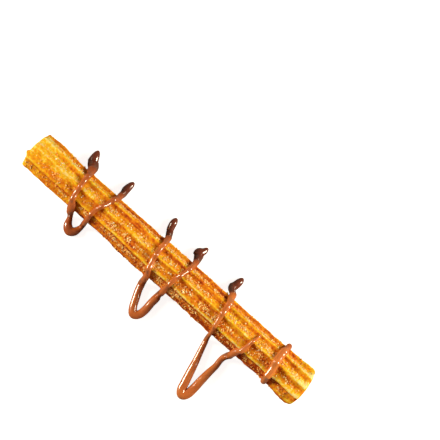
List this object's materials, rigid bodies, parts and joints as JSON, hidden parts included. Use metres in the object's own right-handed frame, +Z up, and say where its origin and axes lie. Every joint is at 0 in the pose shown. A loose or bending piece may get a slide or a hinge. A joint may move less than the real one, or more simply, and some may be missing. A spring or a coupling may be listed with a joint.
{
  "type": "churro",
  "caption": "Straight stick churro with a ribbed, sugared crust and thin milk chocolate drizzled across it in a zigzag that lies on the surface beside it.",
  "frame": {"origin": "middle of the flat strip under the lowest rib, half a millimetre from halfway along the stick", "axes": "+X along the stick from its plain end to its flared end, +Y across it towards the short chocolate tails, +Z up from the surface it lies on"},
  "size_m": [0.219, 0.08, 0.0282],
  "materials": {
    "dough": "matt fried dough crust, golden to brown",
    "chocolate": "glossy milk chocolate sauce",
    "sugar": "loose white sugar crystals"
  },
  "bodies": {
    "root": {"dough": "dough", "drizzle_1": "chocolate", "drizzle_2": "chocolate", "drizzle_3": "chocolate", "drizzle_4": "chocolate"}
  },
  "joints": []
}
